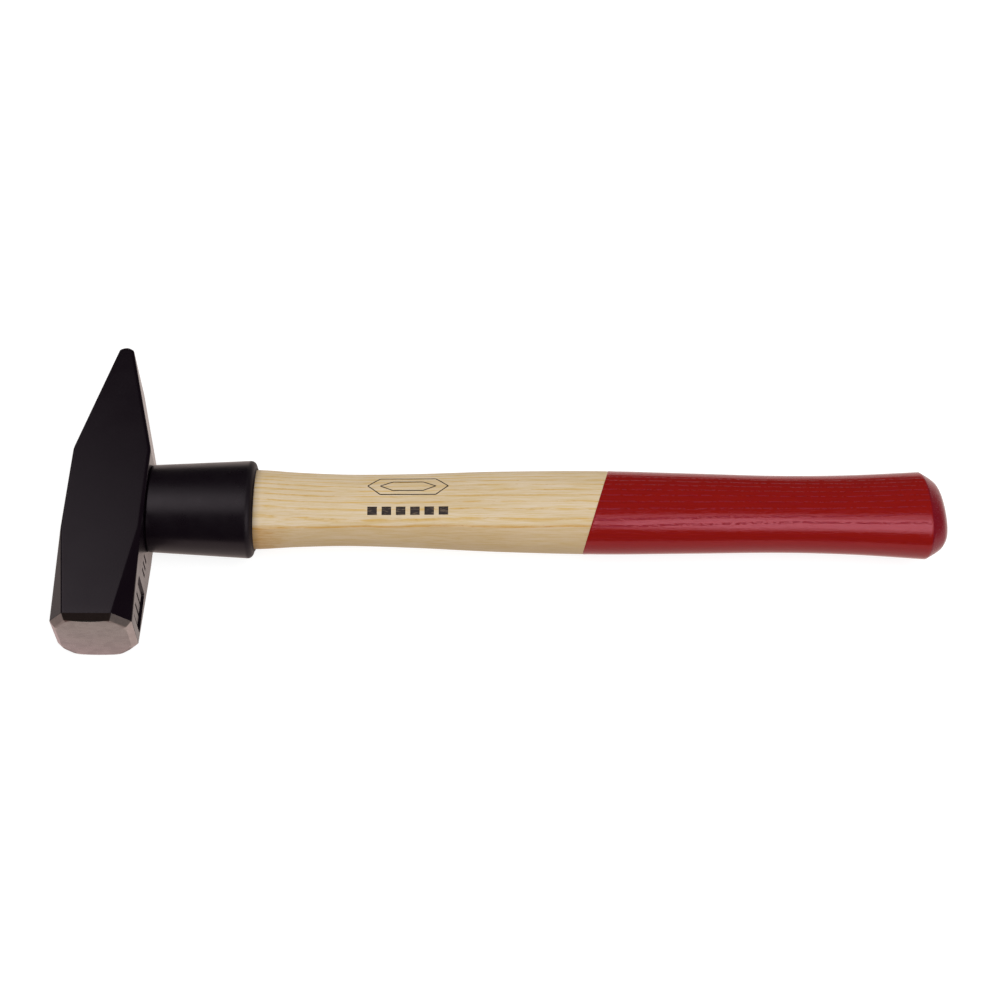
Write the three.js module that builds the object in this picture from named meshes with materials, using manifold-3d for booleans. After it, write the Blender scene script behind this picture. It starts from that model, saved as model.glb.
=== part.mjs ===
// Cross peen hammer: a 500 g engineer's hammer head wedged on a double-curved ash handle.
//
// Millimetres. The hammer lies on one cheek of its head. +Z is up, +X runs along the handle from the
// head to the grip end, +Y points to the peen and -Y to the striking face. The origin is on the lower
// cheek, straight below the middle of the eye.

import * as THREE from 'three';
import { mergeVertices } from 'three/addons/utils/BufferGeometryUtils.js';
import Module from 'manifold-3d';

const wasm = await Module();
wasm.setup();

// ---------------------------------------------------------------- driving dimensions

const GAP = 0.3;                    // clearance between neighbouring pieces

// Head
const HEAD_HEIGHT = 27;             // from cheek to cheek
const HEAD_WIDTH = 27.6;            // along the handle, across the block around the eye
const HALF_HEIGHT = HEAD_HEIGHT / 2;
const HALF_WIDTH = HEAD_WIDTH / 2;
const HEAD_LENGTH = 118;
const EYE_TO_FACE = 54.3;           // eye centre to the top of the face crown
const EYE_TO_PEEN = HEAD_LENGTH - EYE_TO_FACE;
const BLOCK_HALF_LENGTH = 17;       // the block keeps its full square section this far from the eye centre
const EDGE_BREAK = 0.5;             // small bevel on the long edges of the block and the peen
const FACE_CROWN = 0.8;
const CROWN_STEPS = [0.3, 0.62, 0.84];      // rings of the crown, as parts of its width
const FACE_CHAMFER = { along: 2.4, across: 2.1 };
// Corner facets of the poll: they start at the block's end, and take this much off the cheeks and the
// sides where they meet the face's chamfer
const FACET_AT_FACE = { cheek: 5.6, side: 5.7 };
// Rounded striking edge of the peen
const PEEN_EDGE = { halfWidth: 2.7, rise: 1.1, ridge: 0.3, steps: [1, 0.75, 0.5, 0.25] };

// Recessed panel on the handle side of the poll
const PANEL = { nearY: -31.7, farY: -47.6, lowZ: -7.2, highZ: 6.2, depth: 1.2, draft: 0.6 };

// Eye: an oval hourglass along X, wider on the wedge side
const EYE = [
  { x: -HALF_WIDTH, halfY: 14.2, halfZ: 9.7 },
  { x: -4, halfY: 12.9, halfZ: 8.5 },
  { x: 4, halfY: 12.9, halfZ: 8.5 },
  { x: HALF_WIDTH, halfY: 13.7, halfZ: 9.2 },
];

// Handle
const TOTAL_LENGTH = 320;           // far side of the head to the end of the handle
const HANDLE_END = TOTAL_LENGTH - HALF_WIDTH;
const TENON_END = -HALF_WIDTH + GAP;
const SHOULDER = HALF_WIDTH + GAP;
const OVAL_EXPONENT = 2.15;         // a little fuller than an ellipse
const OVAL_RATIO = 1.44;            // handle width along Y over its thickness along Z
// Half widths along Y at chosen places: under the sleeve, neck, belly, waist and flared end
const HANDLE_CURVE = [
  [14.4, 14.3], [34, 15.1], [52, 15.4], [67, 14.5], [86, 13.95], [110, 14.5], [139, 15.75],
  [176, 16.4], [210, 15.85], [243, 15.25], [270, 15.75], [297.1, 17.3],
];
// Bevelled and domed end: distance before the end, and inset from the last oval
const END_BEVEL = [[6.27, 1.6], [3.86, 3.25], [2.5, 4.7], [1.45, 6.4], [0.6, 8.5], [0, 10.8]];

// Red dip coat: it ends on a plane that slants across the handle
const COAT = { thickness: 0.5, x: 175.3, slantY: 0.317, slantZ: 0.06 };

// Protective sleeve
const SLEEVE = {
  headEnd: HALF_WIDTH + GAP,
  gripEnd: 51.2,
  play: 0.1,                        // the bore is this much wider still where it passes over the neck
  headHalfY: 16.9,
  gripHalfY: 19.1,
  headRound: 0.9,
  gripRound: 2.2,
};

// Wedges
const WOOD_WEDGE = { tipX: 6, tipThickness: 1.2, endThickness: 5 };
const RING_WEDGE = { radius: 6, wall: 1.5, edge: 0.35, length: 11 };
const CUT_REACH = 5;                // how far the cutting shapes stand out of what they cut

const OVAL_SEGMENTS = 32;
const RING_SEGMENTS = 28;
const WELD_DISTANCE = 1e-5;         // points closer than this are one point

// ---------------------------------------------------------------- materials

const blackLacquer = new THREE.MeshStandardMaterial({ color: 0x1c181b, roughness: 0.42, metalness: 0.1 });
const ashWood = new THREE.MeshStandardMaterial({ color: 0xd3bc96, roughness: 0.55, metalness: 0 });
const sleevePlastic = new THREE.MeshStandardMaterial({ color: 0x161418, roughness: 0.38, metalness: 0 });
const redLacquer = new THREE.MeshStandardMaterial({ color: 0x8a1512, roughness: 0.15, metalness: 0 });
const wedgeWood = new THREE.MeshStandardMaterial({ color: 0xb98f62, roughness: 0.65, metalness: 0 });
const wedgeSteel = new THREE.MeshStandardMaterial({ color: 0x9a9a9c, roughness: 0.35, metalness: 1 });

// ---------------------------------------------------------------- shape helpers

// Closed body through a list of rings with equally many points, capped at both ends.
function loft(rings) {
  const count = rings[0].length;
  const points = rings.flat();
  const faces = [];
  for (let r = 0; r < rings.length - 1; r += 1) {
    for (let i = 0; i < count; i += 1) {
      const a = r * count + i;
      const b = r * count + ((i + 1) % count);
      faces.push(a, b, b + count, a, b + count, a + count);
    }
  }
  const last = (rings.length - 1) * count;
  for (let i = 1; i < count - 1; i += 1) {
    faces.push(0, i + 1, i);
    faces.push(last, last + i, last + i + 1);
  }
  const geometry = new THREE.BufferGeometry().setFromPoints(points);
  geometry.setIndex(faces);
  geometry.computeVertexNormals();
  return geometry;
}

function toSolid(geometry) {
  const bare = geometry.clone();
  bare.deleteAttribute('normal');
  bare.deleteAttribute('uv');
  const merged = mergeVertices(bare, WELD_DISTANCE);
  return new wasm.Manifold(new wasm.Mesh({
    numProp: 3,
    vertProperties: new Float32Array(merged.attributes.position.array),
    triVerts: new Uint32Array(merged.index.array),
  }));
}

function toGeometry(solid) {
  const mesh = solid.getMesh();
  const geometry = new THREE.BufferGeometry();
  geometry.setAttribute('position', new THREE.BufferAttribute(mesh.vertProperties, 3));
  geometry.setIndex(new THREE.BufferAttribute(mesh.triVerts, 1));
  geometry.computeVertexNormals();
  return geometry;
}

function namedMesh(name, geometry, material) {
  const mesh = new THREE.Mesh(geometry, material);
  mesh.name = name;
  return mesh;
}

// Oval ring across the handle axis at one X.
function ovalRing(x, halfY, halfZ) {
  const power = 2 / OVAL_EXPONENT;
  const ring = [];
  for (let i = 0; i < OVAL_SEGMENTS; i += 1) {
    const angle = (i / OVAL_SEGMENTS) * Math.PI * 2;
    const c = Math.cos(angle);
    const s = Math.sin(angle);
    ring.push(new THREE.Vector3(
      x,
      halfY * Math.sign(c) * Math.abs(c) ** power,
      halfZ * Math.sign(s) * Math.abs(s) ** power,
    ));
  }
  return ring;
}

// Eight-sided ring across the head at one Y: a rectangle whose corners are cut off.
function headRing(y, halfX, halfZ, cut) {
  const x = halfX - cut.cheek;
  const z = halfZ - cut.side;
  const corners = [
    [halfX, -z], [x, -halfZ], [-x, -halfZ], [-halfX, -z],
    [-halfX, z], [-x, halfZ], [x, halfZ], [halfX, z],
  ];
  return corners.map(([px, pz]) => new THREE.Vector3(px, y, pz));
}

// ---------------------------------------------------------------- head

function pollRings() {
  const chamferY = -EYE_TO_FACE + FACE_CROWN + FACE_CHAMFER.along;
  const faceHalfX = HALF_WIDTH - FACE_CHAMFER.across;
  const faceHalfZ = HALF_HEIGHT - FACE_CHAMFER.across;
  // the chamfer runs at the same inset all round, so the cuts shrink by this much
  const diagonal = FACE_CHAMFER.across * (2 - Math.SQRT2);
  const faceCut = { cheek: FACET_AT_FACE.cheek - diagonal, side: FACET_AT_FACE.side - diagonal };
  const crownRing = (part, rise) => headRing(
    -EYE_TO_FACE + FACE_CROWN - rise,
    faceHalfX * part,
    faceHalfZ * part,
    { cheek: faceCut.cheek * part, side: faceCut.side * part },
  );
  // the crown falls off with the square of the distance, and is flat inside its first ring
  const full = FACE_CROWN / (1 - CROWN_STEPS[0] ** 2);
  const crown = CROWN_STEPS.map((part) => crownRing(part, full * (1 - part ** 2)));
  return [
    ...crown,
    crownRing(1, 0),
    headRing(chamferY, HALF_WIDTH, HALF_HEIGHT, FACET_AT_FACE),
    headRing(-BLOCK_HALF_LENGTH, HALF_WIDTH, HALF_HEIGHT, { cheek: EDGE_BREAK, side: EDGE_BREAK }),
  ];
}

function peenRings() {
  const { halfWidth, rise, ridge, steps } = PEEN_EDGE;
  const radius = (halfWidth ** 2 + rise ** 2) / (2 * rise);
  const centreY = EYE_TO_PEEN - radius;
  const startAngle = Math.asin(halfWidth / radius);
  const ringAt = (y, half, cut) => headRing(y, half, HALF_HEIGHT, { cheek: cut, side: cut });
  const arc = steps.map((part) => {
    const angle = startAngle * part;
    const half = radius * Math.sin(angle);
    return ringAt(centreY + radius * Math.cos(angle), half, Math.min(EDGE_BREAK, half / 2));
  });
  return [
    ringAt(BLOCK_HALF_LENGTH, HALF_WIDTH, EDGE_BREAK),
    ...arc,
    ringAt(EYE_TO_PEEN, ridge, ridge / 2),
  ];
}

function eyeRings() {
  const end = HALF_WIDTH + CUT_REACH;
  const first = EYE[0];
  const last = EYE[EYE.length - 1];
  return [
    ovalRing(-end, first.halfY, first.halfZ),
    ...EYE.map(({ x, halfY, halfZ }) => ovalRing(x, halfY, halfZ)),
    ovalRing(end, last.halfY, last.halfZ),
  ];
}

// Recess with sloping walls, cut from the +X side.
function panelCutter() {
  const ring = (x, inset) => [
    new THREE.Vector3(x, PANEL.farY + inset, PANEL.lowZ + inset),
    new THREE.Vector3(x, PANEL.nearY - inset, PANEL.lowZ + inset),
    new THREE.Vector3(x, PANEL.nearY - inset, PANEL.highZ - inset),
    new THREE.Vector3(x, PANEL.farY + inset, PANEL.highZ - inset),
  ];
  const outside = 1;
  const slope = PANEL.draft / PANEL.depth;
  return loft([
    ring(HALF_WIDTH - PANEL.depth, PANEL.draft),
    ring(HALF_WIDTH + outside, -slope * outside),
  ]);
}

function buildHead() {
  const body = toSolid(loft([...pollRings(), ...peenRings()]));
  const eye = toSolid(loft(eyeRings()));
  const panel = toSolid(panelCutter());
  const head = body.subtract(eye).subtract(panel);
  return namedMesh('hammer_head', toGeometry(head), blackLacquer);
}

// ---------------------------------------------------------------- handle and its coat

// Rings of the handle outside the head. A positive inset shrinks the whole skin evenly.
function gripRings(inset) {
  const curve = new THREE.SplineCurve(HANDLE_CURVE.map(([x, half]) => new THREE.Vector2(x, half)));
  const stations = curve.getPoints(2 * (HANDLE_CURVE.length - 1));
  const rings = stations.map((p) => ovalRing(p.x, p.y - inset, p.y / OVAL_RATIO - inset));
  const endHalf = HANDLE_CURVE[HANDLE_CURVE.length - 1][1];
  const bevel = END_BEVEL.map(([before, cut]) => ovalRing(
    HANDLE_END - before - inset,
    endHalf - cut - inset,
    endHalf / OVAL_RATIO - cut - inset,
  ));
  return [...rings, ...bevel];
}

function tenonRings() {
  const last = EYE[EYE.length - 1];
  const inner = EYE.slice(1, -1).map(({ x, halfY, halfZ }) => ovalRing(x, halfY - GAP, halfZ - GAP));
  const first = EYE[0];
  return [
    ovalRing(TENON_END, first.halfY - GAP, first.halfZ - GAP),
    ...inner,
    ovalRing(SHOULDER, last.halfY - GAP, last.halfZ - GAP),
  ];
}

// Everything beyond the dip line, moved along the handle by shift.
function dippedSpace(shift) {
  const reach = 2 * HALF_HEIGHT;
  const far = HANDLE_END + CUT_REACH;
  const corner = (y, z) => COAT.x + shift + COAT.slantY * y + COAT.slantZ * z;
  const square = [[-reach, -reach], [reach, -reach], [reach, reach], [-reach, reach]];
  const near = square.map(([y, z]) => new THREE.Vector3(corner(y, z), y, z));
  const end = square.map(([y, z]) => new THREE.Vector3(far, y, z));
  return toSolid(loft([near, end]));
}

function kerfWedge(offset) {
  const { tipX, tipThickness, endThickness } = WOOD_WEDGE;
  const slab = (x, thickness) => {
    const z = thickness / 2 + offset;
    const y = EYE[0].halfY + CUT_REACH;
    return [[-y, -z], [y, -z], [y, z], [-y, z]].map(([py, pz]) => new THREE.Vector3(x, py, pz));
  };
  const slope = (endThickness - tipThickness) / (tipX - TENON_END);
  const overshoot = offset > 0 ? CUT_REACH : 0;
  return toSolid(loft([
    slab(TENON_END - overshoot, endThickness + slope * overshoot),
    slab(tipX + offset, tipThickness),
  ]));
}

// Ring wedge: a short steel tube, sharpened at its inner end. Its axis is turned onto X.
function ringWedge(offset) {
  const { radius, wall, edge, length } = RING_WEDGE;
  const start = offset > 0 ? -CUT_REACH : 0;
  const profile = [
    new THREE.Vector2(radius - wall - offset, start),
    new THREE.Vector2(radius + offset, start),
    new THREE.Vector2(radius + offset, length + offset),
    new THREE.Vector2(radius - edge - offset, length + offset),
    new THREE.Vector2(radius - wall - offset, 0),
  ];
  if (start < 0) profile.push(profile[0].clone());
  const geometry = new THREE.LatheGeometry(profile, RING_SEGMENTS);
  geometry.rotateZ(-Math.PI / 2);
  geometry.translate(TENON_END, 0, 0);
  return geometry;
}

function buildHandleParts() {
  const group = new THREE.Group();
  const whole = toSolid(loft([...tenonRings(), ...gripRings(0)]));
  const underCoat = toSolid(loft(gripRings(COAT.thickness + GAP)));
  const coatBore = toSolid(loft(gripRings(COAT.thickness)));
  const ring = ringWedge(0);
  const groove = toSolid(ringWedge(GAP));

  const coat = whole.intersect(dippedSpace(GAP)).subtract(coatBore);
  const core = underCoat.intersect(dippedSpace(-CUT_REACH));
  const bareWood = whole.subtract(dippedSpace(0)).add(core);
  const handle = bareWood.subtract(kerfWedge(GAP)).subtract(groove);

  const tenon = toSolid(loft(tenonRings()));
  const wedge = tenon.intersect(kerfWedge(0)).subtract(groove);

  group.add(namedMesh('handle', toGeometry(handle), ashWood));
  group.add(namedMesh('grip_lacquer', toGeometry(coat), redLacquer));
  group.add(namedMesh('wooden_wedge', toGeometry(wedge), wedgeWood));
  group.add(namedMesh('ring_wedge', toGeometry(toSolid(ring)), wedgeSteel));
  return group;
}

// ---------------------------------------------------------------- protective sleeve

function buildSleeve() {
  const { headEnd, gripEnd, play, headHalfY, gripHalfY, headRound, gripRound } = SLEEVE;
  const halfAt = (x) => THREE.MathUtils.mapLinear(x, headEnd, gripEnd, headHalfY, gripHalfY);
  const ringAt = (x, inset) => ovalRing(x, halfAt(x) - inset, halfAt(x) / OVAL_RATIO - inset);
  // quarter rounds at both ends, as steps of a circle
  const angles = [0, 1, 2, 3, 4].map((i) => (i / 4) * (Math.PI / 2));
  const quarter = (x, round) => angles.map((angle) => ringAt(
    x - round * (1 - Math.sin(angle)),
    Math.abs(round) * (1 - Math.cos(angle)),
  ));
  const headEdge = quarter(headEnd, -headRound).reverse();
  const outside = toSolid(loft([...headEdge, ...quarter(gripEnd, gripRound)]));

  const boreRing = (x, half) => ovalRing(x, half + GAP, half / OVAL_RATIO + GAP);
  const [underHead, underMiddle, underRim] = HANDLE_CURVE;
  const bore = toSolid(loft([
    boreRing(headEnd - CUT_REACH, underHead[1]),
    boreRing(underHead[0], underHead[1]),
    boreRing(underMiddle[0], underMiddle[1] + play),
    boreRing(underRim[0], underRim[1] + play),
    boreRing(gripEnd + CUT_REACH, underRim[1] + play),
  ]));
  return namedMesh('protective_sleeve', toGeometry(outside.subtract(bore)), sleevePlastic);
}

// ---------------------------------------------------------------- assembly

// All pieces are built around the handle axis, which lies half the head's height above its lower cheek.
const hammer = new THREE.Group();
const onAxis = new THREE.Group();
onAxis.position.z = HALF_HEIGHT;
onAxis.add(buildHead());
onAxis.add(buildHandleParts());
onAxis.add(buildSleeve());
hammer.add(onAxis);

export default hammer;
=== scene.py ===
"""Looks of a cross peen hammer: a lacquered engineer's hammer head on an ash handle with a red dipped grip.

Metres. The hammer lies on the lower cheek of its head. +X runs along the handle, +Y points to the peen,
-Y to the striking face, and +Z is up. The eye's axis, which is the handle's axis too, runs along X.
"""

import math

import bpy
import numpy as np
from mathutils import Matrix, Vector


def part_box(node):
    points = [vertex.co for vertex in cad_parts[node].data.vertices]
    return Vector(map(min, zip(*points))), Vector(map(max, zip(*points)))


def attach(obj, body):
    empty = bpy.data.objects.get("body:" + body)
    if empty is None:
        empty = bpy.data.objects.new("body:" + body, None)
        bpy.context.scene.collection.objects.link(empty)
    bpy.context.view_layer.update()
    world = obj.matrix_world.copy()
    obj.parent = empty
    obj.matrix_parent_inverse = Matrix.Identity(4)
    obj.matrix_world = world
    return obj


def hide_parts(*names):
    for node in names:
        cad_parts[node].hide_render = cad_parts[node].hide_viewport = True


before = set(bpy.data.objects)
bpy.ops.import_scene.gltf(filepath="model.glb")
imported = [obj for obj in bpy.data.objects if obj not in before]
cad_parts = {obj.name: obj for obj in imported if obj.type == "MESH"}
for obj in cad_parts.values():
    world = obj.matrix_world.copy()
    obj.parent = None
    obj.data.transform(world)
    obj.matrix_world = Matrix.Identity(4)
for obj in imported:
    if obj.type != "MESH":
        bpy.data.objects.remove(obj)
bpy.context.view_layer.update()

MM = 0.001
SCENE = bpy.context.scene

# ------------------------------------------------------------------ sizes from the frame

HEAD_LOW, HEAD_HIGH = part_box("hammer_head")
RING_LOW, RING_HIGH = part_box("ring_wedge")

HALF_X = (HEAD_HIGH[0] - HEAD_LOW[0]) / 2   # half the head's width, along the handle
HALF_Z = (HEAD_HIGH[2] - HEAD_LOW[2]) / 2   # half the head's height, from cheek to cheek
AXIS_Z = (HEAD_HIGH[2] + HEAD_LOW[2]) / 2   # height of the handle's axis
FACE_Y = HEAD_LOW[1]
PEEN_Y = HEAD_HIGH[1]
HANDLE_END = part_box("grip_lacquer")[1][0]           # X of each box's high corner
SLEEVE_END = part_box("protective_sleeve")[1][0]
RING_RADIUS = (RING_HIGH[2] - RING_LOW[2]) / 2
RING_TIP = RING_HIGH[0]

# ------------------------------------------------------------------ sizes of the fine shapes

# Head: the ground face is a shallow dome with a chamfer round it. The corner facets of the poll start at
# the block's end. Cuts are what they take off each cheek on the +X side, on the -X side, and off the sides.
CROWN_RADIUS = 80 * MM
CROWN = 0.8 * MM
CHAMFER_ALONG = 2.4 * MM
CHAMFER_ACROSS = 2.1 * MM
LOW_CHAMFER_ACROSS = 1.5 * MM       # the lower edge of the face is ground rounder and less deep
LOW_RIM_ROUNDING = 2.6 * MM
CUTS_AT_FACE = (5.9 * MM, 5.1 * MM, 5.7 * MM)
CUTS_AT_BLOCK = (0.8 * MM, 0.35 * MM, 0.45 * MM)
EDGE_ROUNDING = 0.5 * MM
CRISP_ROUNDING = 0.12 * MM
BLOCK_END = 17 * MM
PEEN_HALF_WIDTH = 2.7 * MM
PEEN_RISE = 1.1 * MM
PEEN_END_DROP = 0.35 * MM           # how far the peen's edge drops at its ends
CHAMFER_END_Y = FACE_Y + CROWN + CHAMFER_ALONG
# Rings of the face, as parts of the way from its middle to its rim and of the way down the chamfer
CROWN_PARTS = (0.02, 0.12, 0.26, 0.4, 0.55, 0.7, 0.83, 0.93, 0.985, 0.994)
CHAMFER_PARTS = (0.965, 0.93, 0.75, 0.5, 0.25, 0.08, 0.04)
PEEN_PARTS = (1, 0.85, 0.7, 0.55, 0.4, 0.25, 0.1)

# Recess on the handle side of the poll: its low and high corner as (Y, Z from the axis)
PANEL_LOW = (-47.6 * MM, -7.2 * MM)
PANEL_HIGH = (-31.7 * MM, 6.2 * MM)
PANEL_DEPTH = 1.2 * MM
PANEL_ROUNDING = 1.3                # mm, at the rim
PANEL_WALL = [(1.0, -0.5), (0.0, 0.0), (-0.9, 0.42), (-1.1, 0.6), (-1.2, 0.95)]    # level and inset (mm)
# Plain bars in the recess and strokes beside it (mm): their places along Y, and their Z from the axis
BARS_Y = ((-45.6, -42.0), (-41.2, -37.6), (-36.8, -33.6))
BARS_Z = (-4.8, 3.6)
STROKES_Y = (-27.4, -24.6, -21.8)
STROKES_Z = (-3.4, 2.2)
STROKE_WIDTH = 1.3

# Oval of the handle and the sleeve: a little fuller than an ellipse, and wider along Y than it is thick
OVAL_EXPONENT = 2.15
OVAL_RATIO = 1.44
# Half width along Y at places along the handle (mm), from the shoulder under the sleeve to the flared end
HANDLE_CURVE = [
    (13.8, 14.3), (34, 15.1), (52, 15.4), (67, 14.5), (86, 13.95), (110, 14.5), (139, 15.75),
    (176, 16.4), (210, 15.85), (243, 15.25), (270, 15.75), (297.1, 17.35),
]
# Domed and bevelled end: distance before the end, and inset from the last oval (mm)
END_BEVEL = [
    (9.1, 0.0), (6.27, 1.59), (3.86, 3.23), (2.72, 4.54),
    (1.76, 6.17), (1.01, 8.52), (0.45, 10.3), (0, 11.7),
]
# Eye of the head as half width and half height (mm) at places along its axis
EYE_CURVE = [(-13.8, 14.2, 9.7), (-4, 12.9, 8.5), (4, 12.9, 8.5), (13.8, 13.7, 9.2)]

# Plane where the red dip coat ends, as X on the axis and its slant along Y and Z
DIP_X = 175.3 * MM
DIP_SLANT_Y = 0.317
DIP_SLANT_Z = 0.06
COAT_RISE = 0.05 * MM               # how far the coat stands out of the handle's outline
COAT_SINK = 0.14 * MM               # how far the wood under it is turned down
COAT_PLAY = 0.06 * MM               # how far the coat's inner skin lies over that wood
COAT_INNER_START = 1.6 * MM         # behind the plane
COAT_SLANTED = 9 * MM               # behind the plane, past which its rings are square to the axis
COAT_INNER_END = 6 * MM             # before the end of the handle
# Front lip of the coat: distance behind the plane and height over the handle's outline (mm)
COAT_LIP = [(0.0, -0.2), (0.02, 0.0), (0.10, 0.05), (0.25, 0.09), (0.6, 0.10), (1.2, 0.08), (2.4, 0.05)]

# Hardwood wedge and ring wedge
WEDGE_TIP_X = 6 * MM
WEDGE_TIP_HALF = 0.6 * MM
WEDGE_END_HALF = 2.7 * MM
RING_WALL = 1.5 * MM
RING_EDGE = 0.35 * MM
RING_SUNK = 0.5 * MM                # how far it was driven below the wood
RING_ROUNDING = 0.25 * MM
GROOVE_PLAY = 0.03 * MM
CUT_REACH = 2 * MM                  # how far the cutting shapes stand out of the head's far side

# Sleeve: half widths along Y and end roundings, at the head and at the grip
SLEEVE_HALF_AT_HEAD = 16.9 * MM
SLEEVE_HALF_AT_GRIP = 19.1 * MM
SLEEVE_ROUND_AT_HEAD = 0.7 * MM
SLEEVE_ROUND_AT_GRIP = 2.2 * MM
SLEEVE_PLAY = 0.12 * MM
SLEEVE_STEPS = 16
# Thin lip inside the sleeve's rim: X past the rim and height over the bore (mm)
SLEEVE_LIP = ((0.0, 0.9), (0.05, 0.75), (0.35, 0.6), (0.35, 0.25), (0.2, 0.05), (-0.6, 0.0))

OVAL_STEPS = 128
TURNED_STEPS = 64


# ------------------------------------------------------------------ mesh helpers

def add_object(name, verts, faces, material=None):
    """Makes a smooth-shaded mesh object from points and faces."""
    mesh = bpy.data.meshes.new(name)
    mesh.from_pydata([tuple(v) for v in verts], [], faces)
    mesh.validate()
    mesh.shade_smooth()
    piece = bpy.data.objects.new(name, mesh)
    SCENE.collection.objects.link(piece)
    if material is not None:
        mesh.materials.append(material)
    return piece


def loft_faces(ring_count, size, capped=True):
    """Quads between consecutive rings of equally many points, and an n-gon over each capped end."""
    faces = []
    for r in range(ring_count - 1):
        for i in range(size):
            j = (i + 1) % size
            faces.append((r * size + i, r * size + j, (r + 1) * size + j, (r + 1) * size + i))
    if capped:
        faces.append(tuple(reversed(range(size))))
        faces.append(tuple(range((ring_count - 1) * size, ring_count * size)))
    return faces


def loft(name, rings, material=None, closed=False):
    """A closed body through rings. With closed, the last ring joins the first and there are no caps."""
    rings = list(rings)
    size = len(rings[0])
    verts = [p for ring in rings for p in ring]
    if closed:
        faces = loft_faces(len(rings) + 1, size, capped=False)
        faces = [tuple(v % len(verts) for v in face) for face in faces]
    else:
        faces = loft_faces(len(rings), size)
    return add_object(name, verts, faces, material)


def oval_ring(x, half_y, half_z):
    """A full oval square to the handle's axis."""
    power = 2 / OVAL_EXPONENT
    ring = []
    for i in range(OVAL_STEPS):
        angle = 2 * math.pi * i / OVAL_STEPS
        c, s = math.cos(angle), math.sin(angle)
        y = half_y * math.copysign(abs(c) ** power, c)
        z = half_z * math.copysign(abs(s) ** power, s)
        ring.append((x, y, AXIS_Z + z))
    return ring


def smooth_curve(points, per_piece):
    """Points of a uniform Catmull-Rom curve through the given ones."""
    knots = [np.array(p, float) for p in points]
    last = len(knots) - 1
    curve = []
    for i in range(last):
        p0, p1, p2, p3 = knots[max(i - 1, 0)], knots[i], knots[i + 1], knots[min(i + 2, last)]
        v1, v2 = (p2 - p0) / 2, (p3 - p1) / 2
        for k in range(per_piece):
            t = k / per_piece
            curve.append(
                (2 * p1 - 2 * p2 + v1 + v2) * t ** 3
                + (-3 * p1 + 3 * p2 - 2 * v1 - v2) * t ** 2
                + v1 * t + p1
            )
    curve.append(knots[-1])
    return curve


def soften(path, reaches):
    """Replaces each corner of a path of sections by a small parabola that starts reach before it."""
    steps = 4
    most = 0.45                     # of the way to the next section
    result = [path[0]]
    for i in range(1, len(path) - 1):
        before, here, after = path[i - 1], path[i], path[i + 1]
        if reaches[i] <= 0:
            result.append(here)
            continue
        to_before = np.linalg.norm(before[:2] - here[:2])
        to_after = np.linalg.norm(after[:2] - here[:2])
        a = here + (before - here) * min(reaches[i] / to_before, most)
        b = here + (after - here) * min(reaches[i] / to_after, most)
        for k in range(steps + 1):
            t = k / steps
            result.append(a * (1 - t) ** 2 + here * 2 * t * (1 - t) + b * t ** 2)
    result.append(path[-1])
    return result


def subdivide(path, longest):
    """Splits the long steps of a path evenly."""
    result = [path[0]]
    for a, b in zip(path, path[1:]):
        parts = max(1, math.ceil(abs(b[0] - a[0]) / longest))
        result += [a + (b - a) * k / parts for k in range(1, parts + 1)]
    return result


def combine(target, cutter, operation):
    """Applies an exact boolean with another object, which is used up."""
    modifier = target.modifiers.new("cut", "BOOLEAN")
    modifier.operation = operation
    modifier.solver = "EXACT"
    modifier.object = cutter
    graph = bpy.context.evaluated_depsgraph_get()
    result = bpy.data.meshes.new_from_object(target.evaluated_get(graph), depsgraph=graph)
    target.modifiers.clear()
    old, target.data = target.data, result
    bpy.data.meshes.remove(old)
    bpy.data.meshes.remove(cutter.data)


def finish_shading(piece, angle):
    """Smooth shading that keeps the flats flat and the corners past the given angle crisp."""
    for polygon in piece.data.polygons:
        polygon.use_smooth = True
    piece.data.set_sharp_from_angle(angle=math.radians(angle))
    weighted = piece.modifiers.new("weighted normals", "WEIGHTED_NORMAL")
    weighted.keep_sharp = True
    weighted.weight = 60


def place(piece, node):
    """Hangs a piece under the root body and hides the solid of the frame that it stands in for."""
    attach(piece, "root")
    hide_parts(node)


# ------------------------------------------------------------------ material helpers

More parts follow.
